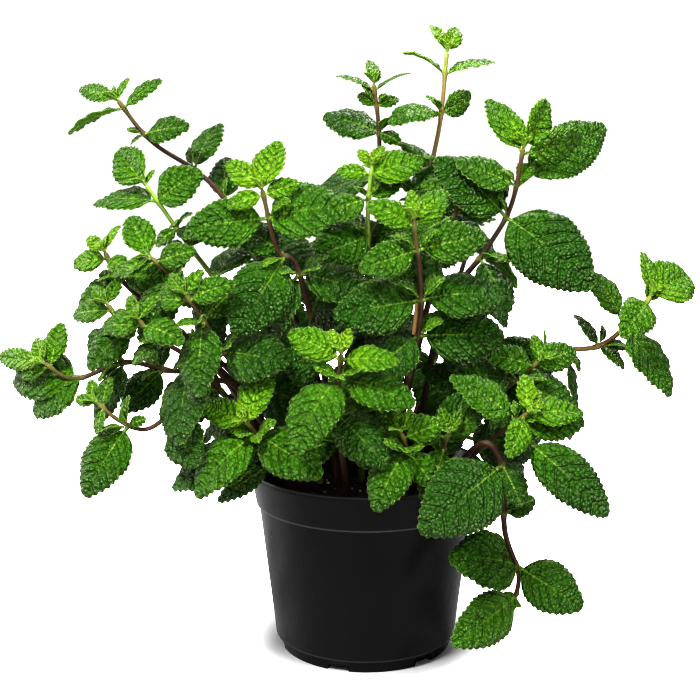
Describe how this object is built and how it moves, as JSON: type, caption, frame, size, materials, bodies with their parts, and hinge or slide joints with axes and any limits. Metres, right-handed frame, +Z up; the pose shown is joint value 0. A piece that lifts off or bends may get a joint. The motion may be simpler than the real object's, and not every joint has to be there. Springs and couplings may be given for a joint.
{
  "type": "potted mint plant",
  "caption": "Bushy mint plant with toothed, paired leaves on square stems, growing in soil in a round black nursery pot that stands on its flat underside.",
  "frame": {"origin": "middle of the pot's flat underside, on the surface that the pot stands on", "axes": "+Z up along the pot's axis, +X to the right and -Y towards the viewer who faces the side with the trailing stem on the right"},
  "size_m": [0.3495, 0.2122, 0.3155],
  "materials": {
    "pot_plastic": "satin",
    "peat": "matte",
    "leaf": "satin",
    "stem": "satin"
  },
  "bodies": {
    "root": {"pot": "pot_plastic", "soil": "peat", "shoot_front_rosette": "leaf", "shoot_left_front_rosette": "leaf", "shoot_right_rosette": "leaf", "shoot_trailing": "leaf", "shoot_front_small": "leaf", "shoot_front_right": "leaf", "shoot_centre_rosette": "leaf", "shoot_upper_left_rosette": "leaf", "shoot_upper_right": "leaf", "shoot_far_right": "leaf", "shoot_tall_top": "leaf", "shoot_top_middle": "leaf", "shoot_top_left": "leaf", "shoot_left_long": "leaf", "shoot_left_loop": "leaf", "shoot_left_green": "leaf", "shoot_left_high": "leaf", "shoot_left_upper": "leaf", "shoot_left_middle": "leaf", "shoot_left_middle_low": "leaf", "shoot_left_centre": "leaf", "shoot_top_middle_low": "leaf", "shoot_centre_upper_right": "leaf", "shoot_right_middle": "leaf", "shoot_back_left": "leaf", "shoot_back_middle": "leaf", "shoot_back_right": "leaf", "shoot_back_low_left": "leaf", "shoot_back_low_right": "leaf", "shoot_back_low": "leaf"}
  },
  "joints": []
}
